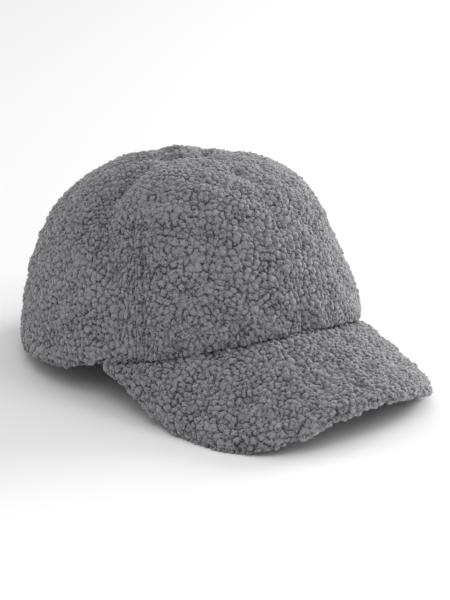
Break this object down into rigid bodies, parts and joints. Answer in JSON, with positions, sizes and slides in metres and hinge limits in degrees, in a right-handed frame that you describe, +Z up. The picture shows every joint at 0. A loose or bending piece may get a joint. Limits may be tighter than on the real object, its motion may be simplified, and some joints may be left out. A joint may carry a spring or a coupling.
{
  "type": "peaked cap",
  "caption": "Soft peaked cap in curly sherpa fleece, with a seamed crown of panels, a covered button and a curved, padded peak, resting on its rim and peak.",
  "frame": {"origin": "on the surface that the cap rests on, below the middle of its bounding box", "axes": "+Z up from the resting surface, -Y forwards over the peak, +X towards the wearer's left"},
  "size_m": [0.1736, 0.262, 0.117],
  "materials": {
    "fleece": "matt curly sherpa pile in mid grey, on a knitted backing"
  },
  "bodies": {
    "root": {"panel_front_right": "fleece", "panel_front_left": "fleece", "panel_side_right": "fleece", "panel_side_left": "fleece", "panel_back_right": "fleece", "panel_back_left": "fleece", "peak": "fleece", "button": "fleece"}
  },
  "joints": []
}
